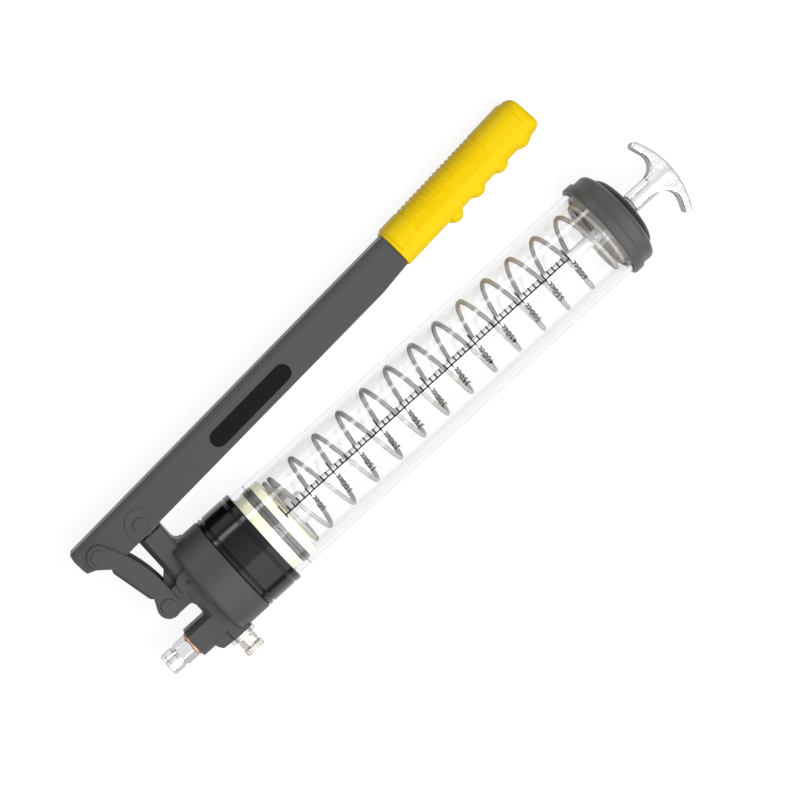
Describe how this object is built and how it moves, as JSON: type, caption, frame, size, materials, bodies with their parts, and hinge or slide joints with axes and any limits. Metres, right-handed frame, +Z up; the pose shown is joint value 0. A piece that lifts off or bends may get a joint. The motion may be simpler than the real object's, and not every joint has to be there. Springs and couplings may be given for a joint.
{
  "type": "lever grease gun",
  "caption": "Lever grease gun with a clear barrel: cast pump head, spring-fed follower on a T-handled rod, bleeder valve and a swinging channel lever with a ribbed grip.",
  "frame": {"origin": "centre of the outlet's mouth", "axes": "+X along the barrel from the outlet to the T-handle, +Z up from the surface that the gun lies on, +Y towards the lever's grip"},
  "size_m": [0.4364, 0.1493, 0.0683],
  "materials": {
    "casting": "satin grey paint on die-cast metal",
    "pressing": "satin grey paint on pressed steel",
    "zinc": "bright zinc plate",
    "steel": "ground",
    "copper": "dull copper",
    "nickel": "warm nickel plate",
    "seal_rubber": "black oil-proof rubber",
    "grip_plastic": "bright yellow moulding",
    "label_black": "black foil",
    "collar_plastic": "glossy black",
    "clear_tube": "clear polycarbonate",
    "cream_plastic": "cream moulding",
    "spring_wire": "oiled spring wire",
    "cap_plastic": "dark grey moulding",
    "bright_casting": "bright plated die casting",
    "ivory_plastic": "ivory moulding"
  },
  "bodies": {
    "gun": {"pump_head": "casting", "outlet_washer": "copper", "outlet_adapter": "zinc", "check_spring": "steel", "bleeder_body": "nickel", "plunger_seal": "seal_rubber", "link_head_pin": "pressing", "barrel_gasket": "seal_rubber", "barrel_collar": "collar_plastic", "barrel_tube": "clear_tube", "follower_spring": "spring_wire", "spring_seat": "spring_wire", "end_cap": "cap_plastic", "cap_bushing": "ivory_plastic"},
    "check_valve": {"check_ball": "steel"},
    "bleeder": {"bleeder_knob": "nickel"},
    "plunger": {"plunger": "steel"},
    "link": {"link": "pressing", "lever_link_pin": "pressing"},
    "lever": {"lever": "pressing", "lever_plunger_pin": "pressing", "lever_grip": "grip_plastic", "label_plate": "label_black"},
    "follower": {"front_disc": "cream_plastic", "follower_seal": "seal_rubber", "rear_disc": "cream_plastic"},
    "rod": {"follower_rod": "zinc", "rod_nut": "zinc", "lock_washer": "steel", "t_handle": "bright_casting"}
  },
  "joints": [
    {"name": "link_swing", "type": "hinge", "parent": "gun", "child": "link", "pos_m": [0.0258, 0.02791, -0.00577], "axis": [0, 0.2024, 0.9793], "range_deg": [-6.4, 0]},
    {"name": "lever_swing", "type": "hinge", "parent": "link", "child": "lever", "pos_m": [0.0148, 0.07746, -0.01601], "axis": [0, 0.2024, 0.9793], "range_deg": [0, 50]},
    {"name": "plunger_slide", "type": "slide", "parent": "gun", "child": "plunger", "axis": [0, 0.9793, -0.2024], "range_m": [0, 0.0241]},
    {"name": "follower_slide", "type": "slide", "parent": "gun", "child": "follower", "axis": [1, 0, 0], "range_m": [0, 0.205], "stiffness_N_per_m": 150, "springref_m": -0.15, "deforming": ["follower_spring"]},
    {"name": "handle_turn", "type": "hinge", "parent": "follower", "child": "rod", "pos_m": [0.43, 0.01949, -0.00403], "axis": [1, 0, 0], "continuous": true},
    {"name": "bleeder_turn", "type": "hinge", "parent": "gun", "child": "bleeder", "pos_m": [0.0465, -0.02556, 0.00528], "axis": [0, -0.9793, 0.2024], "range_deg": [0, 540]},
    {"name": "check_ball_lift", "type": "slide", "parent": "gun", "child": "check_valve", "axis": [-1, 0, 0], "range_m": [0, 0.0015], "stiffness_N_per_m": 200, "springref_m": -0.002, "deforming": ["check_spring"]}
  ],
  "couplings": [
    {"joint": "link_swing", "follows": "lever_swing", "ratio": -0.12615},
    {"joint": "plunger_slide", "follows": "lever_swing", "m_per_rad": 0.027473}
  ]
}
